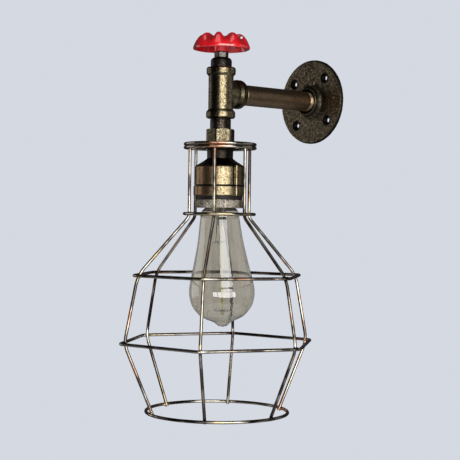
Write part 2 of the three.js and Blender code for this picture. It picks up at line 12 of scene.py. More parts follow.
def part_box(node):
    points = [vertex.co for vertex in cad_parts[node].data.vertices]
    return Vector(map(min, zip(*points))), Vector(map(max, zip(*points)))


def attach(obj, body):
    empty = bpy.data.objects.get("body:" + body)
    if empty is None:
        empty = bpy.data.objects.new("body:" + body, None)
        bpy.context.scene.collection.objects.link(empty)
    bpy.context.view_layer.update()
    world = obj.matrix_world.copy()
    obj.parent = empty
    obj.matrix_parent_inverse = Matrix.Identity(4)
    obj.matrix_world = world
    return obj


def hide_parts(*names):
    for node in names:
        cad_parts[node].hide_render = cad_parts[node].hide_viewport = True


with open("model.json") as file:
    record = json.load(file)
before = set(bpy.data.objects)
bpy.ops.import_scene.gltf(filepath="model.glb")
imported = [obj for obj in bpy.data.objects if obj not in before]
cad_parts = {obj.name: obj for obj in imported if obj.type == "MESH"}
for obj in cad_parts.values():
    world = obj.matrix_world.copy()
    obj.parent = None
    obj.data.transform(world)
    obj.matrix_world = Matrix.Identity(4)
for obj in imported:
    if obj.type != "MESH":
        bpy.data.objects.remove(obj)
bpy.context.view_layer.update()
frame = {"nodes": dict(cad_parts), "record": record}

MM = 0.001
record = frame["record"]
SLOT = {part["node"]: part["material_slot"] for part in record["subparts"]}
BODY = {node: body for body, nodes in record["behaviour"]["bodies"].items() for node in nodes}


def height(node, end):
    """The lowest (0) or highest (1) point of a CAD node in millimetres."""
    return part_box(node)[end].z / MM


def radius(node):
    """Half of a CAD node's width in millimetres."""
    lo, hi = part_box(node)
    return (hi.x - lo.x) / 2 / MM


stem_lo, stem_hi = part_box("valve_stem")
REACH = -(stem_lo.y + stem_hi.y) / 2 / MM  # wall to lamp axis
LAMP = Matrix.Translation((0, -REACH, 0))
ARM = Matrix.Rotation(math.pi / 2, 4, "X")  # heights along Z run out from the wall
BRANCH = LAMP @ Matrix.Rotation(-math.pi / 2, 4, "X")

# the bulb's glass hangs a little out of line with its cap, about a level axis at its neck
LEAN, LEAN_TURN, NECK_Z = math.radians(2.3), math.radians(-42.1), -109
LEAN_AXIS = Vector((math.cos(LEAN_TURN), math.sin(LEAN_TURN), 0))
LEAN_FROM = Matrix.Translation((0, 0, NECK_Z))
LEANING = LAMP @ LEAN_FROM @ Matrix.Rotation(LEAN, 4, LEAN_AXIS) @ LEAN_FROM.inverted()

# ---- driving dimensions, the frame's own where two pieces meet ----
GAP = 0.3  # between two pieces that meet
PIPE_R, PIPE_BORE_R = 10.2, 7.8
FLANGE_R, FLANGE_THICK, HUB_R, HUB_TOP = radius("wall_flange"), 4.0, 14.4, 11.5
HOLE_OUT, HOLE_TURN, HOLE_R, SINK_R = 31, 50, 2.3, 5.6  # screw holes, drawn narrower than the frame's
TEE_HALF, TEE_R, BEAD_R = 25.0, 12.2, 14.3
SPINDLE_R = 3.5  # bore of what sits on the valve stem
WHEEL_TURN = -5.6
LOBES = 8
GRIP_R, GRIP_OUT, GRIP_Z = 2, 19.4, 53.4  # the hole across each lobe
ROD_R = 5.0
HOUSING_R, BAND_R, SHOULDER_Z, GROOVE_Z = 24.2, 25.6, -72.6, -90.7
COLLAR_R, COLLAR_BORE_R = 24, 21.9
THREAD_PITCH = 3.629  # of the lamp cap and its shell
WIRE_R = 1.45
SKIN_R = 1.58  # the wash on a wire makes it a little thicker
CAGE_TURN = 8.8
RING_R = radius("cage_ring_neck") - WIRE_R
RING_STEP = 3.2  # a wire's middle to the middle of the ring welded outside it
SHOULDER_R, MIDDLE_R, MOUTH_R = 82.4, 95.0, 69.6
MOUTH_STEP, MOUTH_LIFT = 1.3 * RING_STEP, 0.36
CLAMP_R = ROD_R + GAP  # bore of what is clamped on the rod
GLASS_WALL = 0.9


# ---- mesh tools ----
def mesh_object(name, verts, faces, place=LAMP):
    """An object with the faces given, put in place, its normals turned outward."""
    mesh = bpy.data.meshes.new(name)
    mesh.from_pydata([(place @ Vector(v)) * MM for v in verts], [], faces)
    obj = bpy.data.objects.new(name, mesh)
    bpy.context.scene.collection.objects.link(obj)
    bm = bmesh.new()
    bm.from_mesh(mesh)
    bmesh.ops.remove_doubles(bm, verts=bm.verts, dist=1e-7)
    bmesh.ops.recalc_face_normals(bm, faces=bm.faces)
    bm.to_mesh(mesh)
    bm.free()
    mesh.update()
    return obj


def apply_modifiers(obj):
    """Puts the result of the object's modifiers in its mesh."""
    graph = bpy.context.evaluated_depsgraph_get()
    graph.update()
    made = bpy.data.meshes.new_from_object(obj.evaluated_get(graph))
    obj.modifiers.clear()
    obj.data = made
    return obj


def combine(obj, others, operation):
    """Boolean of the object with the others, which are used up."""
    for other in others:
        step = obj.modifiers.new("combine", "BOOLEAN")
        step.object = other
        step.operation = operation
        step.solver = "MANIFOLD"
    apply_modifiers(obj)
    for other in others:
        bpy.data.objects.remove(other)
    return obj


def as_casting(obj, voxel, passes):
    """One even skin with every inner corner filled and every outer one rounded, as sand casting leaves."""
    remesh = obj.modifiers.new("remesh", "REMESH")
    remesh.mode = "VOXEL"
    remesh.voxel_size = voxel * MM
    smooth = obj.modifiers.new("smooth", "SMOOTH")
    smooth.factor = 0.5
    smooth.iterations = passes
    return apply_modifiers(obj)


def roughen(obj, depth, grain, seed=0.0):
    """Moves each vertex along its normal by up to depth, in bumps about grain across."""
    shift = Vector((seed, 2 * seed, -seed))
    normals = [v.normal.copy() for v in obj.data.vertices]
    for vertex, normal in zip(obj.data.vertices, normals):
        at = vertex.co / (grain * MM) + shift
        lift = noise.noise(at) + 0.5 * noise.noise(at * 2.3)
        vertex.co += normal * (depth * MM * lift)
    obj.data.update()
    return obj


def spoke(r, k, around, z, turn=0.0):
    """The k-th of the points that stand evenly round a circle."""
    angle = 2 * math.pi * k / around + turn
    return r * math.cos(angle), r * math.sin(angle), z


def turned(profile, segments=96, closed=False):
    """Vertices and faces of (radius, height) points turned about Z."""
    verts, faces, rows = [], [], []
    for r, z in profile:
        count = 1 if r < 1e-6 else segments
        rows.append(list(range(len(verts), len(verts) + count)))
        verts += [spoke(r, k, segments, z) for k in range(count)]
    following = rows[1:] + rows[:1] if closed else rows[1:]
    for low, high in zip(rows, following):
        for k in range(segments):
            ahead = k + 1
            loop = [low[k % len(low)], low[ahead % len(low)], high[ahead % len(high)], high[k % len(high)]]
            loop = list(dict.fromkeys(loop))
            if len(loop) > 2:
                faces.append(loop)
    return verts, faces


def corner_curve(start, corner, end, steps):
    """Points on the curve from start to end that is aimed at the corner from both."""
    shares = [s / steps for s in range(steps + 1)]
    return [start * (1 - t) ** 2 + corner * 2 * t * (1 - t) + end * t * t for t in shares]


def eased(profile, reach=0.5, steps=4, closed=False):
    """The profile with each corner rounded off over reach, or less beside a short side."""
    count = len(profile)
    made = []
    for i, corner in enumerate(profile):
        if not closed and i in (0, count - 1):
            made.append(corner)
            continue
        here = Vector(corner)
        before = Vector(profile[i - 1]) - here
        after = Vector(profile[(i + 1) % count]) - here
        span = min(reach, 0.45 * before.length, 0.45 * after.length)
        start, end = here + before.normalized() * span, here + after.normalized() * span
        made += [tuple(point) for point in corner_curve(start, here, end, steps)]
    return made


def spread(profile, step):
    """The profile with points added so that none are further apart than step."""
    made = [profile[0]]
    for start, end in zip(profile, profile[1:]):
        parts = max(1, math.ceil(math.dist(start, end) / step))
        for k in range(1, parts + 1):
            made.append(tuple(a + (b - a) * k / parts for a, b in zip(start, end)))
    return made


def smooth_curve(points, per_span=6):
    """Points on a smooth curve through the points, which may have any number of coordinates."""

    def between(a, b, c, d, t):
        bend, twist = 2 * a - 5 * b + 4 * c - d, 3 * b - a - 3 * c + d
        return 0.5 * (2 * b + (c - a) * t + bend * t * t + twist * t**3)

    made = []
    last = len(points) - 1
    for i in range(last):
        p0, p1, p2, p3 = points[max(i - 1, 0)], points[i], points[i + 1], points[min(i + 2, last)]
        for s in range(per_span):
            t = s / per_span
            made.append(tuple(between(*values, t) for values in zip(p0, p1, p2, p3)))
    made.append(tuple(points[last]))
    return made


def polar(r, degrees, z=0.0):
    """The point at a radius and an angle about Z."""
    angle = math.radians(degrees)
    return Vector((r * math.cos(angle), r * math.sin(angle), z))


def bent(corners, bends, steps=10, closed=False):
    """A route with each corner bent over its own length."""
    count = len(corners)
    route = [] if closed else [corners[0]]
    inner = range(count) if closed else range(1, count - 1)
    for place, i in enumerate(inner):
        here = corners[i]
        reach = bends[place % len(bends)]
        start = here + (corners[i - 1] - here).normalized() * reach
        end = here + (corners[(i + 1) % count] - here).normalized() * reach
        route += corner_curve(start, here, end, steps)
    if not closed:
        route.append(corners[-1])
    return route


def even(route, step, closed=False):
    """The route with points added so that none are further apart than step."""
    made = []
    ends = list(zip(route, route[1:])) + ([(route[-1], route[0])] if closed else [])
    for start, end in ends:
        parts = max(1, math.ceil((end - start).length / step))
        made += [start.lerp(end, k / parts) for k in range(parts)]
    if not closed:
        made.append(route[-1])
    return made


def bands(rows, around, closed=False):
    """Faces between each row of points and the next, where every row has the same number."""
    faces = []
    for i in range(rows if closed else rows - 1):
        low, high = i * around, (i + 1) % rows * around
        for k in range(around):
            n = (k + 1) % around
            faces.append([low + k, low + n, high + n, high + k])
    return faces


def sleeve(verts, around, bore_r, turn=0.0):
    """Rows of outer points, bottom to top, made into a solid with a plain bore."""
    rows = len(verts) // around
    last, inner, upper = (rows - 1) * around, rows * around, (rows + 1) * around
    faces = bands(rows, around)
    bore = [spoke(bore_r, k, around, z, turn) for z in (verts[0][2], verts[-1][2]) for k in range(around)]
    for k in range(around):
        n = (k + 1) % around
        faces.append([k, n, inner + n, inner + k])
        faces.append([last + k, last + n, upper + n, upper + k])
        faces.append([inner + k, inner + n, upper + n, upper + k])
    return verts + bore, faces


def tube(route, r, sides=14, closed=False, wobble=0.0, seed=0.0):
    """Vertices and faces of a round wire along the route. A wobble makes it slightly uneven."""
    count = len(route)
    ahead = []
    for i in range(count):
        after = route[(i + 1) % count] if closed or i < count - 1 else route[i]
        before = route[i - 1] if closed or i > 0 else route[i]
        ahead.append((after - before).normalized())
    side = ahead[0].cross(Vector((0.13, 0.21, 0.97))).normalized()
    frames = []
    for direction in ahead:
        side = (side - direction * side.dot(direction)).normalized()
        frames.append((side.copy(), direction.cross(side)))
    if closed:
        frames = [(d.cross(Vector((0, 0, 1))).normalized(), Vector((0, 0, 1))) for d in ahead]
    verts = []
    for point, (u, v) in zip(route, frames):
        for k in range(sides):
            angle = 2 * math.pi * k / sides
            out = u * math.cos(angle) + v * math.sin(angle)
            grown = r * (1 + wobble * noise.noise((point + out * r) * 0.22 + Vector((seed, 0, 0))))
            verts.append(tuple(point + out * grown))
    faces = bands(count, sides, closed)
    if not closed:
        for point, ring in ((route[0], 0), (route[-1], (count - 1) * sides)):
            tip = len(verts)
            verts.append(tuple(point))
            for k in range(sides):
                faces.append([ring + k, ring + (k + 1) % sides, tip])
    return verts, faces


def blob(centre, along, size, seed):
    """An uneven bead of weld metal, longer along one direction."""
    bm = bmesh.new()
    bmesh.ops.create_icosphere(bm, subdivisions=3, radius=1)
    long, wide = size
    direction = along.normalized()
    verts = []
    for v in bm.verts:
        bump = 1 + 0.22 * noise.noise(v.co * 1.7 + Vector((seed, seed * 0.7, 0)))
        part = direction * v.co.dot(direction)
        verts.append(tuple(centre + (part * long + (v.co - part) * wide) * bump))
    faces = [[v.index for v in f.verts] for f in bm.faces]
    bm.free()
    return verts, faces


def merged(*shapes):
    """Several shapes' vertices and faces as one shape."""
    verts, faces = [], []
    for more_verts, more_faces in shapes:
        start = len(verts)
        verts += more_verts
        faces += [[i + start for i in face] for face in more_faces]
    return verts, faces


def threaded(bottom, top, r, bore_r, pitch, depth, threads, plain_ends=0.8, segments=72, step=0.22):
    """A sleeve with helical threads between the (from, to) heights given, and its ends eased."""
    heights = []
    z = bottom
    while z < top:
        near = any(a - 1 < z < b + 1 for a, b in threads)
        heights.append(z)
        z += step if near else 3.0
    heights.append(top)
    verts = []
    for z in heights:
        edge = min(z - bottom, top - z)
        chamfer = max(0.0, plain_ends - edge)
        for k in range(segments):
            groove = 0.0
            for a, b in threads:
                fade = max(0.0, min(1.0, (z - a) / pitch, (b - z) / pitch))
                turn = ((z - a) / pitch - k / segments) % 1
                groove = max(groove, fade * depth * (1 - abs(2 * turn - 1)))
            verts.append(spoke(r - max(groove, chamfer), k, segments, z))
    return sleeve(verts, segments, bore_r)


def hexagonal(flats, bottom, top, bore_r, turn=0.0, per_side=18):
    """A hexagon nut whose corners are cut back to a cone at both ends, round a plain bore."""
    segments = 6 * per_side
    corner_r = flats / math.sqrt(3)
    deep = corner_r - flats / 2
    soft = corner_r - 0.35 * deep
    verts = []
    for share in (0, 0.02, 0.05, 0.09, 0.14, 0.2, 0.5, 0.8, 0.86, 0.91, 0.95, 0.98, 1):
        z = bottom + (top - bottom) * share
        cone = flats / 2 - 0.25 + 0.2 * deep + 2.2 * min(z - bottom, top - z)
        for k in range(segments):
            flat = flats / 2 / math.cos(2 * math.pi * (k % per_side) / segments - math.pi / 6)
            blunt = soft + (flat - soft) * 0.35 if flat > soft else flat
            verts.append(spoke(min(flat, blunt, cone), k, segments, z, turn))
    return sleeve(verts, segments, bore_r, turn)


# ---- finishes ----
class Shader:
    """A principled material and short ways to build its nodes."""

    def __init__(self, name):
        self.material = bpy.data.materials.new(name)
        self.material.use_nodes = True
        self.tree = self.material.node_tree
        self.bsdf = self.tree.nodes["Principled BSDF"]
        coordinates = self.tree.nodes.new("ShaderNodeTexCoord")
        scaled = self.tree.nodes.new("ShaderNodeMapping")
        scaled.inputs["Scale"].default_value = (1 / MM,) * 3
        self.link(coordinates.outputs["Object"], scaled.inputs["Vector"])
        self.millimetres = scaled.outputs["Vector"]

    def link(self, source, target):
        self.tree.links.new(source, target)

    def set(self, **values):
        """Sets or links the sockets of the principled node, their names with _ for a space."""
        for name, value in values.items():
            socket = self.bsdf.inputs[name.replace("_", " ")]
            if hasattr(value, "links"):
                self.link(value, socket)
            else:
                socket.default_value = value
        return self

    def stretch(self, x, y, z):
        """The place in millimetres, scaled along each axis."""
        node = self.tree.nodes.new("ShaderNodeMapping")
        node.inputs["Scale"].default_value = (x, y, z)
        self.link(self.millimetres, node.inputs["Vector"])
        return node.outputs["Vector"]

    def noise(self, size, detail=3.0, where=None, distortion=0.0):
        node = self.tree.nodes.new("ShaderNodeTexNoise")
        node.inputs["Scale"].default_value = 1 / size
        node.inputs["Detail"].default_value = detail
        node.inputs["Distortion"].default_value = distortion
        self.link(where or self.millimetres, node.inputs["Vector"])
        return node.outputs["Fac"]

    def axis(self, name):
        """The place along X, Y or Z in millimetres."""
        node = self.tree.nodes.new("ShaderNodeSeparateXYZ")
        self.link(self.millimetres, node.inputs["Vector"])
        return node.outputs[name]

    def distance(self, point, where):
        """How far a place is from the point."""
        node = self.tree.nodes.new("ShaderNodeVectorMath")
        node.operation = "DISTANCE"
        self.link(where, node.inputs[0])
        node.inputs[1].default_value = point
        return node.outputs["Value"]

    def across(self, direction, offset):
        """How far the place lies along a direction, in millimetres from an offset."""
        node = self.tree.nodes.new("ShaderNodeVectorMath")
        node.operation = "DOT_PRODUCT"
        self.link(self.millimetres, node.inputs[0])
        node.inputs[1].default_value = direction
        return self.maths("SUBTRACT", node.outputs["Value"], offset)

    def cells(self, size):
        node = self.tree.nodes.new("ShaderNodeTexVoronoi")
        node.inputs["Scale"].default_value = 1 / size
        self.link(self.millimetres, node.inputs["Vector"])
        return node.outputs["Distance"]

    def ramp(self, value, stops):
        node = self.tree.nodes.new("ShaderNodeValToRGB")
        elements = node.color_ramp.elements
        while len(elements) < len(stops):
            elements.new(0.5)
        for element, (place, colour) in zip(elements, stops):
            element.position = place
            element.color = (*colour, 1)
        self.link(value, node.inputs["Fac"])
        return node.outputs["Color"]

    def range(self, value, low, high, start=0.0, end=1.0):
        """Start where the value is low, end where it is high, and a straight line between."""
        node = self.tree.nodes.new("ShaderNodeMapRange")
        for name, number in (("From Min", low), ("From Max", high), ("To Min", start), ("To Max", end)):
            node.inputs[name].default_value = number
        self.link(value, node.inputs["Value"])
        return node.outputs["Result"]

    def maths(self, operation, a, b):
        node = self.tree.nodes.new("ShaderNodeMath")
        node.operation = operation
        for socket, value in zip(node.inputs, (a, b)):
            if hasattr(value, "links"):
                self.link(value, socket)
            else:
                socket.default_value = value
        return node.outputs["Value"]

    def mix(self, share, a, b):
        node = self.tree.nodes.new("ShaderNodeMix")
        node.data_type = "RGBA"
        for name, value in (("Factor", share), ("A", a), ("B", b)):
            socket = next(s for s in node.inputs if s.name == name and s.enabled)
            if hasattr(value, "links"):
                self.link(value, socket)
            else:
                socket.default_value = value if name == "Factor" else (*value, 1)
        return next(s for s in node.outputs if s.enabled)

    def edges(self, low=0.5, high=0.56):
        """1 where the surface stands proud, 0 on flats and in hollows."""
        node = self.tree.nodes.new("ShaderNodeNewGeometry")
        return self.range(node.outputs["Pointiness"], low, high)

    def bump(self, height_value, depth):
        node = self.tree.nodes.new("ShaderNodeBump")
        node.inputs["Distance"].default_value = depth * MM
        self.link(height_value, node.inputs["Height"])
        self.link(node.outputs["Normal"], self.bsdf.inputs["Normal"])
        return self


def aged_metal(name, dark, mid, bright, rough, grain, depth, blotch=9.0, metallic=1.0, worn=None, layers=()):
    """Cast or plated metal: fine grain over slow patches, rougher where it is dark. Worn is the colour
    of rubbed edges, and layers are (mask, colour) pairs laid over the rest."""
    s = Shader(name)
    fine = s.noise(grain, 4)
    slow = s.noise(blotch, 2, distortion=0.6)
    pits = s.range(s.cells(grain * 2.6), 0.0, 0.34)
    tone = s.maths("ADD", s.maths("MULTIPLY", fine, 0.62), s.maths("MULTIPLY", slow, 0.38))
    colour = s.ramp(tone, [(0.36, dark), (0.5, mid), (0.66, bright)])
    colour = s.mix(pits, dark, colour)
    if worn:
        colour = s.mix(s.maths("MULTIPLY", s.edges(), s.range(fine, 0.35, 0.6)), colour, worn)
    for mask, over in layers:
        colour = s.mix(mask(s), colour, over)
    smoothest, roughest = rough
    s.set(Base_Color=colour, Metallic=metallic, Roughness=s.range(tone, 0.35, 0.68, roughest, smoothest))
    relief = s.maths("ADD", s.maths("MULTIPLY", fine, 0.75), s.maths("MULTIPLY", pits, 0.25))
    s.bump(relief, depth)
    return s.material


def wire_finish(name, tarnished):
    """Pale bronze wash with copper, gold and green patches under broken black tarnish."""
    s = Shader(name)
    slow = s.noise(34, 2, distortion=0.8)
    fine = s.noise(1.6, 2)
    tint = s.ramp(slow, [
        (0.34, (0.36, 0.20, 0.125)), (0.44, (0.40, 0.35, 0.29)), (0.56, (0.42, 0.385, 0.335)),
        (0.63, (0.40, 0.30, 0.145)), (0.7, (0.33, 0.32, 0.24))])
    tarnish = s.range(s.noise(22, 2), 0.44, 0.58, 0.0, tarnished)
    colour = s.mix(tarnish, tint, (0.035, 0.027, 0.022))
    s.set(Base_Color=colour, Metallic=1.0, Roughness=s.range(fine, 0.3, 0.7, 0.12, 0.18))
    s.bump(fine, 0.025)
    return s.material


def enamel():
    """Thick glossy red paint over a cast wheel, deep red in small specks and in its hollows, where it is
    partly pooled paint and partly painted shade.
    """
    s = Shader("red_enamel")
    deep_red = (0.16, 0.001, 0.003)
    colour = s.ramp(s.noise(7, 2), [(0.3, (0.40, 0.002, 0.006)), (0.7, (0.72, 0.006, 0.012))])
    # deep red in the specks, and in the hollows as partly pooled paint, partly painted shade
    for clear in (s.range(s.cells(2.6), 0.03, 0.1), s.edges(0.44, 0.5)):
        colour = s.mix(clear, deep_red, colour)
    s.set(Base_Color=colour, Roughness=0.3, Coat_Weight=1.0, Coat_Roughness=0.03, Coat_IOR=1.7)
    s.bump(s.maths("ADD", s.noise(3.2, 2), s.maths("MULTIPLY", s.noise(0.8, 2), 0.12)), 0.16)
    return s.material


def bulb_glass():
    """Clear drawn glass with a smoky tint and faint vertical flow lines."""
    s = Shader("smoky_glass")
    flow = s.noise(3.5, 2, where=s.stretch(1, 1, 0.08))
    colour = s.ramp(flow, [(0.3, (0.69, 0.65, 0.56)), (0.7, (0.745, 0.705, 0.615))])
    s.set(Base_Color=colour, Transmission_Weight=1.0, Roughness=0.0, IOR=1.8)
    s.bump(s.maths("ADD", flow, s.noise(14, 1)), 0.03)
    return s.material


def stem_glass():
    """Grey pressed glass at the foot, and a yellow-green rod below it."""
    s = Shader("stem_glass")
    flow = s.noise(1.2, 2, where=s.stretch(1, 1, 0.1))
    foot = s.range(s.axis("Z"), -136, -129)
    rod = s.ramp(flow, [(0.3, (0.80, 0.80, 0.26)), (0.7, (0.95, 0.94, 0.42))])
    s.set(Base_Color=s.mix(foot, rod, (0.60, 0.59, 0.55)), Transmission_Weight=0.4, Roughness=0.1, IOR=1.5)
    s.bump(flow, 0.04)
    return s.material


def phenolic():
    """Dark moulded resin with a dull skin."""
    s = Shader("dark_phenolic")
    fine = s.noise(0.6, 4)
    colour = s.ramp(s.noise(8, 2), [(0.3, (0.008, 0.007, 0.006)), (0.7, (0.016, 0.013, 0.011))])
    s.set(Base_Color=colour, Roughness=s.range(fine, 0.3, 0.7, 0.4, 0.6), Specular_IOR_Level=0.2)
    s.bump(fine, 0.03)
    return s.material


def insulation(name, dark, bright):
    """Soft plastic wire cover, a little uneven in colour."""
    s = Shader(name)
    fine = s.noise(0.7, 3)
    colour = s.ramp(s.noise(6, 2), [(0.3, dark), (0.7, bright)])
    s.set(Base_Color=colour, Roughness=s.range(fine, 0, 1, 0.4, 0.6))
    s.bump(fine, 0.02)
    return s.material


# near-black laid on by the masks below, partly a dark wash and mostly painted shade; copper that partly
# paints the side light's highlight; worn brass for rubbed edges
WASH_AND_SHADE, COPPER_SHEEN, WORN_BRASS = (0.012, 0.010, 0.008), (0.30, 0.16, 0.08), (0.42, 0.36, 0.24)
SIDEWAYS = Vector((0.67, 0.742, 0))  # level, across the lamp, towards the wall's side, which is the camera's right; painted shade is laid by it


def sideways(s):
    """How far a place is from the lamp's axis, sideways."""
    return s.across(SIDEWAYS, -REACH * SIDEWAYS.y)


def flange_wash_and_shade(s):
    """1 round the rim, in the hub's mouth and the countersinks, and less on a patch beside the hub, which is
    painted shade from the hub.
    """
    flat = s.stretch(1, 0, 1)
    out = s.distance((0, 0, 0), flat)
    rim, mouth = s.range(out, 42.0, 42.9), s.range(out, 13.0, 13.6, 1, 0)
    # painted shade on a patch beside the hub
    patch = s.range(s.distance((9, 0, 2), flat), 11, 23, 0.75, 0)
    mask = s.maths("MAXIMUM", s.maths("MAXIMUM", rim, mouth), patch)
    for k in range(4):
        x, z, _ = polar(HOLE_OUT, HOLE_TURN + 90 * k)
        sink = s.range(s.distance((x, 0, z), flat), SINK_R - 0.3, SINK_R + 0.7, 1, 0)
        mask = s.maths("MAXIMUM", mask, sink)
    return mask


def housing_coat_and_shade(s):
    """1 on the holder's neck and cone, partly a dark coat and partly painted shade; painted shade in its
    groove, in a line beside one rib, and at half strength on the side towards the wall.
    """
    z = s.axis("Z")
    # painted shade in the groove
    groove = s.range(s.distance((0, 0, GROOVE_Z), s.stretch(0, 0, 1)), 0.5, 0.9, 1, 0)
    # painted shade in a line beside the rib
    rib_shade = s.range(s.distance((0, -REACH - 3.5, 0), s.stretch(0, 1, 0)), 0.55, 0.85, 1, 0)
    rib_shade = s.maths("MULTIPLY", rib_shade, s.range(s.axis("X"), 18, 18.5))
    rib_shade = s.maths("MULTIPLY", rib_shade, s.range(z, GROOVE_Z - 0.5, GROOVE_Z - 0.1))
    # painted shade at half strength on the side towards the wall
    back = s.range(sideways(s), 17.5, 20.5, 0, 0.5)
    # the neck and cone near-black: partly a dark coat, partly painted shade
    top = s.maths("MULTIPLY", s.range(z, SHOULDER_Z, SHOULDER_Z + 2), 0.97)
    return s.maths("MAXIMUM", s.maths("MAXIMUM", top, groove), s.maths("MAXIMUM", rib_shade, back))


def copper_and_sheen_side(s):
    """Copper in patches on the side away from the wall: partly copper showing through, partly the painted
    colour of the side light's highlight there.
    """
    side = s.range(sideways(s), -6, -13, 0, 0.75)
    return s.maths("MULTIPLY", side, s.range(s.noise(5, 3), 0.35, 0.6, 0.35, 1))


def tee_painted_shade(s):
    """Painted shade: more of it towards the branch, and a strip of it down the side away from the wall."""
    # painted shade towards the branch
    branch = s.range(s.axis("Y"), 11.0 - REACH, 16.0 - REACH, 0, 0.72)
    place = sideways(s)
    # painted shade down the side away from the wall
    shaded_strip = s.maths("MULTIPLY", s.range(place, -0.2, -2.4), s.range(place, -10.8, -8.8, 0.45, 0.92))
    return s.maths("MAXIMUM", branch, shaded_strip)


# ---- each slot's finish, and those of nodes that differ from their slot ----
# metals: dark, mid and bright tones, least and most roughness, grain and its depth
FINISH = {
    "cast_bronze": aged_metal(
        "cast_bronze", (0.014, 0.011, 0.007), (0.095, 0.073, 0.046), (0.27, 0.215, 0.135),
        (0.30, 0.50), 1.25, 0.3, blotch=2.6, worn=(0.34, 0.29, 0.20), layers=[(flange_wash_and_shade, WASH_AND_SHADE)]),
    "pipe_bronze": aged_metal(
        "pipe_bronze", (0.11, 0.07, 0.042), (0.21, 0.142, 0.088), (0.32, 0.22, 0.135),
        (0.30, 0.44), 1.2, 0.05, blotch=25),
    "antique_brass": aged_metal(
        "antique_brass", (0.018, 0.013, 0.007), (0.105, 0.086, 0.051), (0.26, 0.215, 0.135),
        (0.26, 0.40), 1.2, 0.13, blotch=2.6, worn=WORN_BRASS),
    "black_iron": aged_metal(
        "black_iron", (0.006, 0.005, 0.004), (0.016, 0.013, 0.011), (0.05, 0.041, 0.034),
        (0.28, 0.44), 1.2, 0.14, blotch=3, metallic=0.9),
    "plated_steel": aged_metal(
        "plated_steel", (0.02, 0.018, 0.015), (0.075, 0.068, 0.058), (0.15, 0.14, 0.12),
        (0.26, 0.40), 0.9, 0.05),
    "contact_brass": aged_metal(
        "contact_brass", (0.35, 0.25, 0.10), (0.60, 0.46, 0.21), (0.75, 0.60, 0.30),
        (0.20, 0.34), 0.9, 0.03),
    "cap_nickel": aged_metal(
        "cap_nickel", (0.42, 0.40, 0.37), (0.64, 0.62, 0.58), (0.74, 0.72, 0.68),
        (0.18, 0.32), 0.8, 0.03),
    "filament_wire": aged_metal(
        "filament_wire", (0.04, 0.035, 0.03), (0.09, 0.075, 0.065), (0.15, 0.13, 0.11),
        (0.35, 0.5), 0.3, 0.01),
    "cap_glass": aged_metal(
        "cap_glass", (0.008, 0.008, 0.01), (0.014, 0.014, 0.017), (0.025, 0.025, 0.03),
        (0.12, 0.25), 2.0, 0.03, metallic=0.0),
    "cage_wire": wire_finish("cage_wire", 0.9),
    "red_enamel": enamel(),
    "smoky_glass": bulb_glass(),
    "stem_glass": stem_glass(),
    "dark_phenolic": phenolic(),
    "lead_brown": insulation("lead_brown", (0.10, 0.045, 0.02), (0.14, 0.065, 0.03)),
    "lead_blue": insulation("lead_blue", (0.02, 0.05, 0.19), (0.03, 0.075, 0.25)),
}
OWN_FINISH = {
    **dict.fromkeys(["cage_ring_top_upper", "cage_ring_top_lower", "cage_ring_neck"],
                    wire_finish("cage_ring", 0.15)),
    "tee_fitting": aged_metal(
        "brass_tee", (0.04, 0.03, 0.015), (0.20, 0.16, 0.092), (0.38, 0.31, 0.19),
        (0.26, 0.40), 1.2, 0.12, blotch=2.6, worn=WORN_BRASS, layers=[(tee_painted_shade, WASH_AND_SHADE)]),
    "lower_nipple": aged_metal(
        "bronze_nipple", (0.010, 0.008, 0.006), (0.036, 0.029, 0.022), (0.085, 0.068, 0.050),
        (0.26, 0.40), 1.2, 0.07, blotch=5),
    "holder_housing": aged_metal(
        "brass_housing", (0.04, 0.028, 0.014), (0.24, 0.191, 0.111), (0.385, 0.308, 0.184),
        (0.24, 0.38), 1.05, 0.15, blotch=2.4, layers=[(copper_and_sheen_side, COPPER_SHEEN), (housing_coat_and_shade, WASH_AND_SHADE)]),
    "shade_ring": aged_metal(
        "brass_collar", (0.02, 0.016, 0.013), (0.33, 0.295, 0.24), (0.72, 0.65, 0.54),
        (0.24, 0.38), 1.3, 0.3, blotch=1.9),
}


def finish_piece(obj, node, crease=38, others=()):
    """Gives the piece its node's body, slot and finish, and lets it stand for the node."""
    mesh = obj.data
    mesh.shade_smooth()
    mesh.set_sharp_from_angle(angle=math.radians(crease))
    mesh.materials.clear()
    mesh.materials.append(OWN_FINISH.get(node) or FINISH[SLOT[node]])
    obj.name = mesh.name = node + "_fine"
    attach(obj, BODY[node])
    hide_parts(node, *others)
    return obj


def add(node, shape, place=LAMP, crease=38):
    """Makes a shape's vertices and faces into the finished piece for a node."""
    return finish_piece(mesh_object(node + "_fine", *shape, place), node, crease)


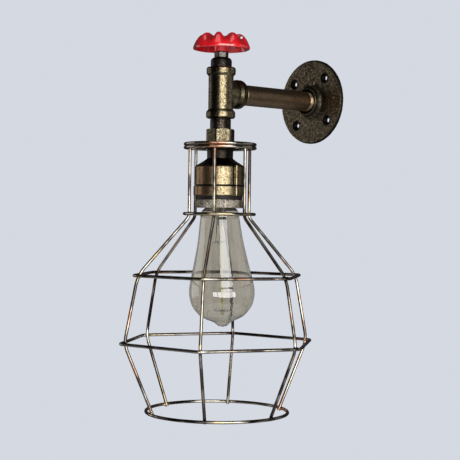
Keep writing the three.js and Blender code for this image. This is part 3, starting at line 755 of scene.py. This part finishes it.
# ---- wall flange and arm ----
def make_flange():
    """A cast plate with a hub, a boss beside it, a few pips and four countersunk holes."""
    rim, top = FLANGE_R, FLANGE_THICK
    body = mesh_object("flange", *turned(eased([
        (PIPE_BORE_R, 0), (rim - 0.5, 0), (rim, 0.6), (rim, top - 1.3), (rim - 1.2, top), (19.5, top),
        (17, top + 0.5), (15.4, top + 2.2), (HUB_R + 0.1, top + 4.4), (HUB_R, HUB_TOP - 1.2),
        (HUB_R - 1, HUB_TOP), (PIPE_R + 2.6, HUB_TOP), (PIPE_R + 0.5, HUB_TOP - 2.5), (PIPE_R + 0.5, 2.5),
        (PIPE_BORE_R, 2.5)], 0.6, 4, True), 128, True), ARM)
    boss = turned(eased([
        (0, top - 1), (3.9, top - 1), (3.7, top + 0.7), (2.9, top + 1.1), (0, top + 1.25)], 0.5), 40)
    raised = [mesh_object("boss", *boss, ARM @ Matrix.Translation(polar(19.4, 84)))]
    pips = [(34, 97, 1.5), (36.5, 91, 1.1), (33, 104, 1.2), (35, 12, 1.2), (33, 5, 1.4), (34.5, -9, 1.1)]
    for out, degrees, r in pips:
        pip = turned(eased([(0, top - 1), (r, top - 1), (0.8 * r, top + 0.7), (0, top + 0.9)], 0.4), 24)
        raised.append(mesh_object("pip", *pip, ARM @ Matrix.Translation(polar(out, degrees))))
    combine(body, raised, "UNION")
    hole = turned([
        (0, -1), (HOLE_R, -1), (HOLE_R, top - 1.3), (SINK_R, top + 0.2), (SINK_R - 0.2, top + 2),
        (0, top + 2)], 48)
    holes = []
    for k in range(4):
        place = ARM @ Matrix.Translation(polar(HOLE_OUT, HOLE_TURN + 90 * k))
        holes.append(mesh_object("hole", *hole, place))
    combine(body, holes, "DIFFERENCE")
    as_casting(body, 0.55, 3)
    roughen(body, 0.13, 1.5)
    roughen(body, 0.08, 7.0, 5)
    for vertex in body.data.vertices:
        vertex.co.y = min(vertex.co.y, 0)
    return finish_piece(body, "wall_flange", 60)


def make_arm():
    """The pipe between the flange and the tee, threaded at both ends."""
    start, end = 2.7, REACH - TEE_HALF + 11
    near, far = HUB_TOP - 2, REACH - TEE_HALF
    shape = threaded(start, end, PIPE_R, PIPE_BORE_R, 1.8, 0.75, [(start, near + 5.2), (far - 3.6, end)])
    return add("arm_pipe", shape, ARM, 30)


# ---- tee and valve ----
def bead_profile(end):
    """The outline of a tee's mouth with its raised bead."""
    return [(TEE_R, end - 8.6), (BEAD_R - 0.6, end - 7.2), (BEAD_R, end - 6), (BEAD_R, end - 1.3),
            (BEAD_R - 1.2, end)]


def make_tee():
    """Two crossing cast barrels, bored for the pipes and softened together."""
    rising = bead_profile(TEE_HALF)
    outline = [(r, -z) for r, z in reversed(rising)] + rising
    body = mesh_object("tee", *turned([(0, -TEE_HALF), *outline, (0, TEE_HALF)], 128))
    branch = mesh_object("branch", *turned([(0, 0), (TEE_R, 0), *rising, (0, TEE_HALF)], 128), BRANCH)
    combine(body, [branch], "UNION")
    bore_r, past = PIPE_R + GAP, TEE_HALF + 1
    bores = [mesh_object("bore", *turned([(0, start), (bore_r, start), (bore_r, past), (0, past)], 96), place)
             for start, place in ((-past, LAMP), (0, BRANCH))]
    combine(body, bores, "DIFFERENCE")
    as_casting(body, 0.45, 4)
    roughen(body, 0.05, 1.5)
    roughen(body, 0.08, 6.0, 3)
    return finish_piece(body, "tee_fitting", 60)


def make_bonnet():
    """The black valve top that screws into the tee."""
    seat = height("tee_fitting", 1) + GAP
    profile = [(PIPE_R - 1, 10), (PIPE_R - 0.6, seat), (10.35, seat), (10.35, 31.2), (9.7, 32.9), (8, 34.2),
               (SPINDLE_R, 34.2), (SPINDLE_R, 10)]
    obj = mesh_object("bonnet", *turned(spread(eased(profile, 1.0, 5, True), 0.8), 120, True))
    roughen(obj, 0.08, 2.2)
    return finish_piece(obj, "valve_bonnet")


def make_stem():
    top = height("valve_stem", 1)
    profile = [(0, 5), (5.6, 5), (5.6, 9.6), (3.2, 9.6), (3.2, top - 0.8), (2.4, top), (0, top)]
    return add("valve_stem", turned(eased(profile, 0.4), 64))


# (radius, height, lift at a lobe) of the dished wheel, round its section
WHEEL_TOP = [
    (7.4, 50, 0), (8.6, 53.6, 0), (11.5, 54.2, 1.4), (15, 53.6, 3.8), (19, 52.4, 5), (22.3, 50.6, 4.6),
    (25.3, 48, 3), (27.3, 45.6, 0.8), (27.9, 44.3, 0), (27.9, 43, 0), (27.3, 42.3, 0)]
WHEEL_UNDER = [
    (25.8, 42.3, 0), (24.6, 44.4, 1), (22.6, 47.2, 3), (19.4, 49.4, 4.4), (15.4, 50.6, 3.6),
    (11.4, 51.2, 1.2), (8.8, 50.6, 0), (7, 47.5, 0)]


def make_wheel():
    """The section goes round in lobes: it rises at each, and its rim draws in a little between them."""
    section = [(SPINDLE_R, 50, 0), (6.8, 50, 0), *smooth_curve(WHEEL_TOP, 5), *smooth_curve(WHEEL_UNDER, 4),
               (7, 40.9, 0), (6.5, 40.4, 0), (SPINDLE_R, 40.4, 0)]
    around = 32 * LOBES
    verts, faces = [], []
    for k in range(around):
        degrees = 360 * k / around
        wave = (1 + math.cos(math.radians(LOBES * degrees))) / 2
        crest = 1 - (1 - wave**1.6) ** 1.5
        for r, z, lift in section:
            waist = 0.028 * (1 - wave) * max(0, r - 22) / 6
            verts.append(tuple(polar(r * (1 - waist), degrees + WHEEL_TURN, z + 0.95 * lift * crest)))
    count = len(section)
    for k in range(around):
        n = (k + 1) % around
        for i in range(count):
            j = (i + 1) % count
            faces.append([k * count + i, k * count + j, n * count + j, n * count + i])
    body = mesh_object("wheel", verts, faces)
    hole = turned([(0, -6), (GRIP_R, -6), (GRIP_R, 6), (0, 6)], 32)
    across = Matrix.Translation((GRIP_OUT, 0, GRIP_Z)) @ Matrix.Rotation(math.pi / 2, 4, "X")
    holes = []
    for k in range(LOBES):
        lobe = Matrix.Rotation(math.radians(WHEEL_TURN + 360 * k / LOBES), 4, "Z")
        holes.append(mesh_object("hole", *hole, LAMP @ lobe @ across))
    combine(body, holes, "DIFFERENCE")
    return finish_piece(body, "handwheel", 50)


def add_valve_nuts():
    for node, flats in (("packing_nut", 12.6), ("handwheel_nut", 8.4)):
        add(node, hexagonal(flats, height(node, 0), height(node, 1), SPINDLE_R), LAMP, 25)


# ---- drop pipe and clamped stack ----
def add_stack():
    """The nipple, the hex bushing, and the rod and nuts that clamp the cage and the holder."""
    low, high = height("lower_nipple", 0), height("lower_nipple", 1)
    shape = threaded(low, high, PIPE_R, PIPE_BORE_R, 1.8, 0.7, [(low, -34), (-27, high)])
    add("lower_nipple", shape, LAMP, 30)
    low, high = height("hex_bushing", 0), height("hex_bushing", 1)
    bushing = mesh_object("bushing", *hexagonal(25.6, low, high, CLAMP_R, math.radians(4)))
    socket_r, floor_z = PIPE_R + GAP, -45
    socket = turned([(0, floor_z), (socket_r, floor_z), (socket_r, high + 1), (0, high + 1)], 96)
    combine(bushing, [mesh_object("socket", *socket)], "DIFFERENCE")
    finish_piece(bushing, "hex_bushing", 25)
    low, high = height("threaded_rod", 0), height("threaded_rod", 1)
    shape = threaded(low, high, ROD_R, 3.5, 1, 0.45, [(low - 1, high + 1)], 0.5, 48, 0.125)
    add("threaded_rod", shape, LAMP, 40)
    for node, turn in (("upper_lock_nut", 0.7), ("lower_lock_nut", 1.0)):
        add(node, hexagonal(12.8, height(node, 0), height(node, 1), CLAMP_R, turn), LAMP, 25)


# ---- lamp holder ----
def make_housing():
    """A spun brass shell with a neck, a cone and a wider band, and a rib down each side."""
    top, bottom = height("holder_housing", 1), height("holder_housing", 0)
    inside = 21.6
    profile = [
        (CLAMP_R, top), (16, top), (16, -53), (13.7, -54.8), (12.8, -57), (12.7, -64.3), (15.8, -66.6),
        (22.9, -71), (HOUSING_R, SHOULDER_Z), (HOUSING_R, GROOVE_Z + 0.7), (HOUSING_R - 0.5, GROOVE_Z + 0.3),
        (HOUSING_R - 0.5, GROOVE_Z - 0.4), (BAND_R, GROOVE_Z - 0.8), (BAND_R, bottom + 0.9),
        (BAND_R - 0.9, bottom), (inside + 1.4, bottom), (inside + 1.4, -96.6), (inside, -95),
        (inside, -73.4), (10.1, -66), (10.1, top - 4), (CLAMP_R, top - 4)]
    body = mesh_object("housing", *turned(spread(eased(profile, 0.55, 4, True), 0.8), 192, True))
    ribs = []
    for side in (0, 180):
        rib = block((HOUSING_R - 1, BAND_R + 0.6), (-1.7, 1.7), (bottom + 0.6, SHOULDER_Z + 1.1))
        ribs.append(mesh_object("rib", *rib, LAMP @ Matrix.Rotation(math.radians(side), 4, "Z")))
    combine(body, ribs, "UNION")
    roughen(body, 0.07, 1.3)
    return finish_piece(body, "holder_housing", 45)


def block(x, y, z):
    """A block between the given limits, its long outer edges cut back."""
    cut = 0.5
    outline = [(x[0], y[0]), (x[1] - cut, y[0]), (x[1], y[0] + cut), (x[1], y[1] - cut), (x[1] - cut, y[1]),
               (x[0], y[1])]
    count = len(outline)
    verts = [(a, b, level) for level in z for a, b in outline]
    faces = [list(range(count)), list(range(count, 2 * count))]
    faces += [[i, (i + 1) % count, count + (i + 1) % count, count + i] for i in range(count)]
    return verts, faces


def add_holder_inside():
    """The resin insert, and the rolled brass cup with the stud that feeds it."""
    top, bottom = height("holder_insulator", 1), height("holder_insulator", 0)
    add("holder_insulator", turned(eased([
        (0, top), (20.6, top), (20.6, -96.8), (22.6, -98.4), (22.6, -104.2), (21.6, -104.2), (21.6, bottom),
        (18.4, bottom), (14.4, -105.4), (14.4, -84.3), (0, -84.3)], 0.7), 96))
    ridge = []
    z = -105.0
    while z < -85.4:
        wave = 0.35 * math.sin(2 * math.pi * z / THREAD_PITCH)
        ridge.append((14.0 + min(wave, 0.1), z))
        z += 0.3
    inner = [(r - 0.5, z) for r, z in ridge]
    cup = turned([(6, -84.6), (13.8, -84.6), *reversed(ridge), *inner, (13.2, -85.4), (6, -85.4)], 96, True)
    stud = turned([(0, -85), (1.7, -85), (1.7, -71.8), (1.5, -71.6), (0, -71.6)], 32)
    stud = ([(x + 10, y, z) for x, y, z in stud[0]], stud[1])
    add("screw_shell", merged(cup, stud))


def make_collar():
    """The collar's outside is cut with two crossing sets of fine grooves."""
    top, bottom = height("shade_ring", 1), height("shade_ring", 0)
    around, rows, pitch, deep, plain = 420, 40, 3.2, 0.65, 0.6
    verts = []
    for i in range(rows + 1):
        z = bottom + (top - bottom) * i / rows
        edge = min(z - bottom, top - z)
        for k in range(around):
            along = COLLAR_R * 2 * math.pi * k / around
            waves = [abs(math.sin(math.pi * (along + climb) / pitch)) for climb in (z, -z)]
            groove = (1 - min(1, 1.6 * waves[0] * waves[1])) * min(1, edge / plain)
            rough = noise.noise(Vector((along * 0.5, z * 0.5, 1.0)))
            r = COLLAR_R - deep * groove - max(0, plain - edge) + 0.06 * rough
            verts.append(spoke(r, k, around, z))
    return add("shade_ring", sleeve(verts, around, COLLAR_BORE_R), LAMP, 50)


def add_leads():
    """Two wires from the wall through the arm and down the rod to their screws."""
    floor_z = height("holder_insulator", 1) + 0.8
    for node, side, end_x in (("live_lead", -1.5, -4.6), ("neutral_lead", 1.5, 5.4)):
        corners = [Vector(p) for p in ((side, REACH - 0.5, 0), (side, 0, 0), (side, 0, -64.6),
                                       (end_x, 0, -70), (end_x, 0, floor_z))]
        add(node, tube(even(bent(corners, [9, 1.6, 1.6]), 3), 1.1, 16))


# ---- wire cage ----
def ring_route(ring_r, z):
    """The line of a round ring."""
    return [polar(ring_r, 360 * k / 120, z) for k in range(120)]


def corner_route(wire_r, z):
    """The line of a six-sided ring, whose bent corners are outside the wires."""
    corners = [polar(wire_r + RING_STEP + 1.7, CAGE_TURN + 60 * k, z) for k in range(6)]
    return even(bent(corners, [6], 10, True), 3.0, True)


def ring_height(name):
    """The height of a cage ring's middle."""
    node = "cage_ring_" + name
    return (height(node, 0) + height(node, 1)) / 2


def wire_route(k):
    """The line of one cage wire, from the top plate down to the mouth ring."""
    neck_r = RING_R - RING_STEP
    stops = [(neck_r, height("cage_top_plate", 0) - GAP), (neck_r, ring_height("neck") - 3),
             (SHOULDER_R, ring_height("shoulder")), (MIDDLE_R, ring_height("middle")),
             (MOUTH_R - MOUTH_STEP, ring_height("mouth") - WIRE_R)]
    return even(bent([polar(r, CAGE_TURN + 60 * k, z) for r, z in stops], [4, 10, 9]), 3.0)


def add_cage():
    """Each ring is a wire with a weld bead at each of the six upright wires."""
    for place, name in enumerate(("top_upper", "top_lower", "neck", "shoulder", "middle", "mouth")):
        z = ring_height(name)
        if name in ("shoulder", "middle"):
            wire_r = {"shoulder": SHOULDER_R, "middle": MIDDLE_R}[name]
            route = corner_route(wire_r - 0.35, z)
            bead_r = wire_r + RING_STEP / 2
        elif name == "mouth":
            z += MOUTH_LIFT
            route = ring_route(MOUTH_R - 0.2, z)
            bead_r = MOUTH_R - MOUTH_STEP + RING_STEP / 2 + 0.6
        else:
            route = ring_route(RING_R - 0.2, z)
            bead_r = RING_R - RING_STEP / 2
        beads = []
        for k in range(6):
            angle = CAGE_TURN + 60 * k
            beads.append(blob(polar(bead_r, angle, z), polar(1, angle + 90), (2.7, 1.75), place * 6.0 + k))
        shape = tube(route, SKIN_R, 16, True, 0.04, place * 7.0)
        add("cage_ring_" + name, merged(shape, *beads), LAMP, 60)
    for k in range(6):
        add("cage_wire_%d" % (k + 1), tube(wire_route(k), SKIN_R, 16, False, 0.04, k * 3.0), LAMP, 60)
    low, high, plate_r = height("cage_top_plate", 0), height("cage_top_plate", 1), 32.6
    profile = [(CLAMP_R, low), (plate_r, low), (plate_r, high), (CLAMP_R, high)]
    plate = mesh_object("plate", *turned(spread(eased(profile, 0.4, 3, True), 1.5), 120, True))
    finish_piece(roughen(plate, 0.06, 5), "cage_top_plate")


# ---- bulb ----
BULB_OUTLINE = [
    (11.9, -106.6), (11.9, -109.8), (13.4, -111.6), (15.8, -113.4), (17.9, -115.8), (18.9, -120),
    (20.3, -131), (22.4, -146), (26.3, -165), (30, -181), (31.6, -189), (32.1, -195), (31.3, -202),
    (28.6, -209.5), (23.6, -216), (20.6, -218.7), (15.6, -221.3), (10.8, -223.3), (8.4, -224.4),
    (6.6, -226), (4.2, -227.9), (0, -228.8)]


def make_envelope():
    """The glass: its outline outside, and the same outline one wall further in, joined at the neck."""
    outside = smooth_curve(BULB_OUTLINE, 5)
    inside = []
    for i in range(len(outside) - 1):
        (r0, z0), (r1, z1) = outside[max(i - 1, 0)], outside[i + 1]
        along = Vector((r1 - r0, z1 - z0)).normalized()
        inward = Vector((along.y, -along.x))
        point = Vector(outside[i]) + inward * GLASS_WALL
        if point.x > 0.8:
            inside.append(tuple(point))
    around = 128
    profile = outside + [(0, outside[-1][1] + 2 * GLASS_WALL)] + inside[::-1]
    verts, faces = turned(profile, around)
    end = len(verts) - around
    faces += [[k, (k + 1) % around, end + (k + 1) % around, end + k] for k in range(around)]
    return add("glass_envelope", (verts, faces), LEANING, 80)


def add_cap():
    """The screw cap with its rolled thread, its dark glass foot and the solder contact."""
    top, bottom = height("bulb_screw_cap", 1), height("bulb_screw_cap", 0)
    start, around, cap_r = top - 2.4, 96, 12.75
    verts = []
    z = bottom
    while z < start:
        fade = max(0, min(1, (z - bottom) / 3.5, (start - z) / 1.5))
        for k in range(around):
            r = cap_r + 0.42 * fade * math.sin(2 * math.pi * (z / THREAD_PITCH - k / around))
            verts.append(spoke(r, k, around, z))
        z += 0.3
    thread = verts, bands(len(verts) // around, around)
    shoulder = turned(eased([
        (cap_r, verts[-1][2]), (12.6, start), (10.4, top), (5, top), (5, top - 0.7), (10.1, top - 0.7),
        (12, start - 0.4), (12.2, bottom), (cap_r, bottom)], 0.4), around)
    add("bulb_screw_cap", merged(thread, shoulder))
    shell = height("bulb_cap_insulator", 0), height("bulb_cap_insulator", 1)
    add("bulb_cap_insulator", turned(eased([
        (2.2, shell[1]), (7.5, shell[0] + 1.9), (7.3, shell[0] + 1.4), (4.7, shell[0] + 1.9),
        (4.7, shell[0]), (2.2, shell[0])], 0.5, 4, True), 64, True))
    low, tip = height("bulb_cap_contact", 0), height("bulb_cap_contact", 1)
    add("bulb_cap_contact", turned(eased([
        (0, tip), (2.2, tip - 0.1), (3.2, tip - 0.5), (1.9, tip - 0.9), (1.9, low), (0, low)], 0.3), 48))


def add_mount():
    """What stands inside the glass: its foot and rod, two stars of hooks, the leads and the filament."""
    cage_r, top, bottom, hook_r, filament_r, lead_r = 8.6, -147.0, -212.0, 0.17, 0.07, 0.34
    foot = [(0, -104.6), (8.6, -104.6), (7.2, -108), (5.2, -113), (3.6, -119), (3.5, -124), (3.0, -128.5),
            (1.4, -131.5), (1.0, -140), (1.05, -165), (1.3, -180), (1.3, bottom - 2.4), (1.8, bottom - 3.6),
            (1.4, bottom - 4.6), (0, bottom - 5)]
    add("bulb_glass_stem", turned(smooth_curve(foot, 4), 48), LEANING, 60)
    for node, z, bend in (("bulb_upper_hooks", top + 1.2, 1), ("bulb_lower_hooks", bottom - 1.2, -1)):
        hub = [(1.65, z - 0.5), (2.2, z - 0.5), (2.2, z + 0.5), (1.65, z + 0.5)]
        shapes = [turned(eased(hub, 0.2, 3, True), 32, True)]
        for k in range(6):
            out = 60 * k
            stops = [polar(2.0, out, z), polar(4.8, out, z + 0.5 * bend), polar(7.4, out, z - 0.2 * bend),
                     polar(cage_r - 0.5, out, z - 0.9 * bend), polar(cage_r - 0.9, out, z - 1.5 * bend)]
            shapes.append(tube([Vector(point) for point in smooth_curve(stops, 5)], hook_r, 8))
        add(node, merged(*shapes), LEANING)
    corners = []
    for k in range(9):
        turn = 20 + 320 * k / 8
        ends = [polar(cage_r, turn, top), polar(cage_r, turn, bottom)]
        corners += ends if k % 2 == 0 else ends[::-1]
    add("bulb_filament", tube(even(bent(corners, [1.0], 5), 4), filament_r, 6), LEANING)
    for node, side in (("bulb_lead_in_a", -1), ("bulb_lead_in_b", 1)):
        stops = [(side * 5, 0, -118), (side * 5, 0.2, -124), (side * 5.2, 0.4, -128), (side * 6.6, 0.9, -136),
                 (side * 8.1, 1.2, top + 4), (side * 8.3, 1.2, top + 2)]
        add(node, tube([Vector(point) for point in smooth_curve(stops, 6)], lead_r, 10), LEANING)


make_flange()
make_arm()
make_tee()
make_bonnet()
make_stem()
make_wheel()
add_valve_nuts()
add_stack()
make_housing()
add_holder_inside()
make_collar()
add_leads()
add_cage()
make_envelope()
add_cap()
add_mount()

for node in ("centre_contact", "live_terminal_nut", "neutral_terminal_nut"):
    kept = frame["nodes"][node]
    kept.data.materials.clear()
    kept.data.materials.append(FINISH[SLOT[node]])

# ---- camera ----
AZIMUTH, PITCH, ROLL = math.radians(47.934), math.radians(-0.53), math.radians(0.753)
LENS, SENSOR = 99.4, 36
DISTANCE, ASIDE, AIM_Z = 1.2434, 0.01066, -0.1224  # metres
right = Vector((math.cos(AZIMUTH), math.sin(AZIMUTH), 0))
level = Vector((-math.sin(AZIMUTH), math.cos(AZIMUTH), 0))
ahead = (level + Vector((0, 0, math.tan(PITCH)))).normalized()
centre = Vector((0, -REACH * MM, AIM_Z))
camera = bpy.data.objects.new("camera", bpy.data.cameras.new("camera"))
bpy.context.scene.collection.objects.link(camera)
bpy.context.scene.camera = camera
camera.data.lens = LENS
camera.data.sensor_width = SENSOR
camera.location = centre - level * DISTANCE + right * ASIDE
facing = ahead.to_track_quat("-Z", "Y").to_matrix() @ Matrix.Rotation(ROLL, 3, "Z")
camera.rotation_euler = facing.to_euler()

# ---- studio ----
PALE = (0.665, 0.694, 0.761)  # the backdrop that the camera sees


def softbox(name, across, up, distance, size, power):
    """An area light, across and up in degrees from the camera as seen from the lamp."""
    swing, lift = math.radians(across), math.radians(up)
    flat = -level * math.cos(swing) + right * math.sin(swing)
    direction = flat * math.cos(lift) + Vector((0, 0, math.sin(lift)))
    light = bpy.data.lights.new(name, "AREA")
    light.shape = "RECTANGLE"
    light.size, light.size_y = size
    light.energy = power
    obj = bpy.data.objects.new(name, light)
    bpy.context.scene.collection.objects.link(obj)
    obj.location = centre + direction * distance
    obj.rotation_euler = (-direction).to_track_quat("-Z", "Y").to_euler()
    obj.visible_camera = False
    obj.visible_transmission = False


softbox("key", 18, 18, 2.0, (1.5, 1.2), 28.5)
softbox("low", 10, -8.5, 2.0, (3.3, 0.6), 38)
softbox("side", -110, 2, 2.0, (1.6, 1.1), 5.2)
softbox("right", 100, 8, 2.2, (1.7, 1.6), 3)
softbox("above", -15, 68, 1.8, (1.1, 1.1), 4)

world = bpy.data.worlds.new("studio")
bpy.context.scene.world = world
world.use_nodes = True
nodes, links = world.node_tree.nodes, world.node_tree.links
nodes.clear()
seen, lit = nodes.new("ShaderNodeBackground"), nodes.new("ShaderNodeBackground")
seen.inputs["Color"].default_value = (*PALE, 1)
lit.inputs["Color"].default_value = (0.9, 0.93, 1.0, 1)
lit.inputs["Strength"].default_value = 0.04
path = nodes.new("ShaderNodeLightPath")
either = nodes.new("ShaderNodeMath")
either.operation = "MAXIMUM"
links.new(path.outputs["Is Camera Ray"], either.inputs[0])
links.new(path.outputs["Is Transmission Ray"], either.inputs[1])
blend = nodes.new("ShaderNodeMixShader")
links.new(either.outputs["Value"], blend.inputs["Fac"])
links.new(lit.outputs["Background"], blend.inputs[1])
links.new(seen.outputs["Background"], blend.inputs[2])
output = nodes.new("ShaderNodeOutputWorld")
links.new(blend.outputs["Shader"], output.inputs["Surface"])

FLOOR_Z, FLOOR_R = -1400, 2600
floor_outline = [(0, FLOOR_Z), (FLOOR_R - 200, FLOOR_Z), (FLOOR_R, FLOOR_Z + 2)]
floor = mesh_object("floor", *turned(floor_outline, 96))
paper = Shader("floor")
paper.set(Base_Color=paper.ramp(paper.noise(180, 2), [(0.3, (0.86, 0.88, 0.92)), (0.7, (0.89, 0.91, 0.94))]),
          Roughness=0.9)
floor.data.materials.append(paper.material)

bpy.context.scene.view_settings.view_transform = "Standard"
